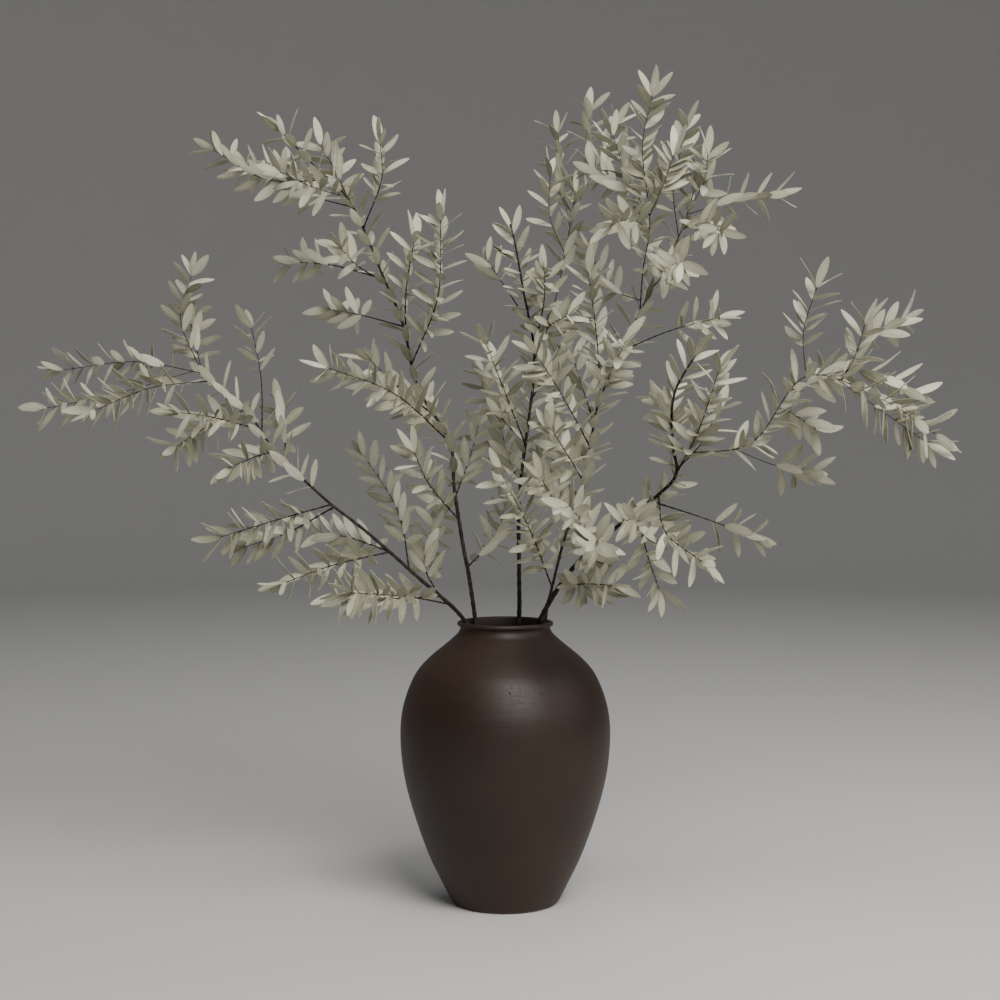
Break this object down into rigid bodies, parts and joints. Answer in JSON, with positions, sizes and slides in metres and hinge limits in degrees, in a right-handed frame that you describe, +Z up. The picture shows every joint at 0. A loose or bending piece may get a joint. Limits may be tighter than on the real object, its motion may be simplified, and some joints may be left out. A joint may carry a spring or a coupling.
{
  "type": "ikebana arrangement",
  "caption": "Upright fan of dried branches with narrow pale leaves, standing in a round-shouldered dark brown ceramic vase with a small rolled lip.",
  "frame": {"origin": "centre of the vase's flat base, on the surface it stands on", "axes": "+Z up along the vase's axis, +Y away from the viewer of the front, +X to the viewer's right"},
  "size_m": [0.9166, 0.5712, 0.9096],
  "materials": {
    "vase_glaze": "satin dark brown glaze with a broad soft sheen and small pits",
    "dried_leaves": "matte pale grey-beige dried leaf with a faint midrib",
    "twig_bark": "rough very dark brown bark, used by the stems and twigs of the visual model"
  },
  "bodies": {
    "root": {"vase": "vase_glaze", "branch_left": "dried_leaves", "branch_tall_left": "dried_leaves", "branch_centre": "dried_leaves", "branch_right": "dried_leaves", "branch_tall_right": "dried_leaves"}
  },
  "joints": []
}
